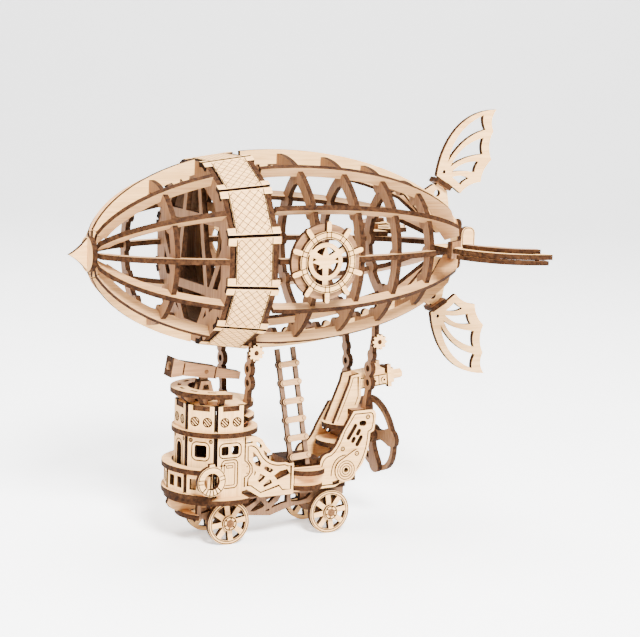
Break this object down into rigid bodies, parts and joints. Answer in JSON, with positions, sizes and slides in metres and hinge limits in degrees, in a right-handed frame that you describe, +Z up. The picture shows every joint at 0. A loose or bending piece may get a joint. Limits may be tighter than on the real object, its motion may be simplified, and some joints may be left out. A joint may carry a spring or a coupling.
{
  "type": "airship model",
  "caption": "Plywood airship model with ribbed envelope, bat-wing tail fins and a wheeled gondola with tower, telescope, ladder, engine and propeller.",
  "frame": {"origin": "centre of the overall length and width, on the ground plane under the wheels", "axes": "+X from nose to tail along the length, +Y to starboard, +Z up"},
  "size_m": [0.18, 0.125, 0.165],
  "materials": {
    "pale_ply": "matte",
    "tan_ply": "matte",
    "brown_ply": "matte",
    "dowel": "matte"
  },
  "bodies": {
    "frame": {"nose_tip": "pale_ply", "nose_disc": "pale_ply", "keels": "pale_ply", "front_stringers": "pale_ply", "rear_stringers": "pale_ply", "ring_nose": "tan_ply", "rear_rings": "tan_ply", "tail_post": "tan_ply", "tail_plate": "pale_ply", "bulkhead_front": "tan_ply", "bulkhead_rear": "tan_ply", "belt_panels": "pale_ply", "helm_backs": "tan_ply", "helm_rims": "pale_ply", "helm_hubs": "pale_ply", "upper_fin": "pale_ply", "lower_fin": "pale_ply", "flat_fins": "pale_ply", "fin_strips": "tan_ply", "fin_collars": "brown_ply", "front_hangers": "tan_ply", "rear_hangers": "tan_ply", "hanger_gears": "pale_ply", "ladder_rails": "pale_ply", "ladder_steps": "pale_ply", "tower_walls": "pale_ply", "lower_cornice": "brown_ply", "frieze_panels": "pale_ply", "aft_balcony": "pale_ply", "upper_cornice": "brown_ply", "lookout_brackets": "tan_ply", "lookout": "pale_ply", "telescope_base": "tan_ply", "balcony_decks": "brown_ply", "balcony_railing": "pale_ply", "bow_deck": "brown_ply", "lifebuoy": "pale_ply", "bow_hull": "pale_ply", "hull_plates": "tan_ply", "main_deck": "pale_ply", "side_panels": "pale_ply", "stern_panels": "pale_ply", "stern_discs": "pale_ply", "side_steps": "brown_ply", "deck_bench": "tan_ply", "stern_frame": "tan_ply", "stern_seats": "brown_ply", "cheek_plates": "pale_ply", "engine_box": "pale_ply", "engine_trim": "pale_ply"},
    "front_wheelset": {"front_wheels": "pale_ply", "front_axle": "dowel"},
    "rear_wheelset": {"rear_wheels": "pale_ply", "rear_axle": "dowel"},
    "propeller_unit": {"propeller": "tan_ply", "propeller_shaft": "dowel"},
    "telescope_mount": {"telescope_pedestal": "tan_ply"},
    "telescope": {"telescope_tube": "tan_ply", "telescope_eyepiece": "tan_ply", "telescope_pin": "dowel"}
  },
  "joints": [
    {"name": "front_wheel_spin", "type": "hinge", "parent": "frame", "child": "front_wheelset", "pos_m": [-0.0292, 0, 0.0085], "axis": [0, 1, 0], "continuous": true},
    {"name": "rear_wheel_spin", "type": "hinge", "parent": "frame", "child": "rear_wheelset", "pos_m": [0.0141, 0, 0.0085], "axis": [0, 1, 0], "continuous": true},
    {"name": "propeller_spin", "type": "hinge", "parent": "frame", "child": "propeller_unit", "pos_m": [0.039, 0, 0.0355], "axis": [0.9903, 0, 0.1392], "continuous": true},
    {"name": "telescope_turn", "type": "hinge", "parent": "frame", "child": "telescope_mount", "pos_m": [-0.036, 0, 0.0566], "axis": [0, 0, 1], "range_deg": [-20, 20]},
    {"name": "telescope_tilt", "type": "hinge", "parent": "telescope_mount", "child": "telescope", "pos_m": [-0.036, 0, 0.0656], "axis": [0, 1, 0], "range_deg": [-12, 8]}
  ]
}
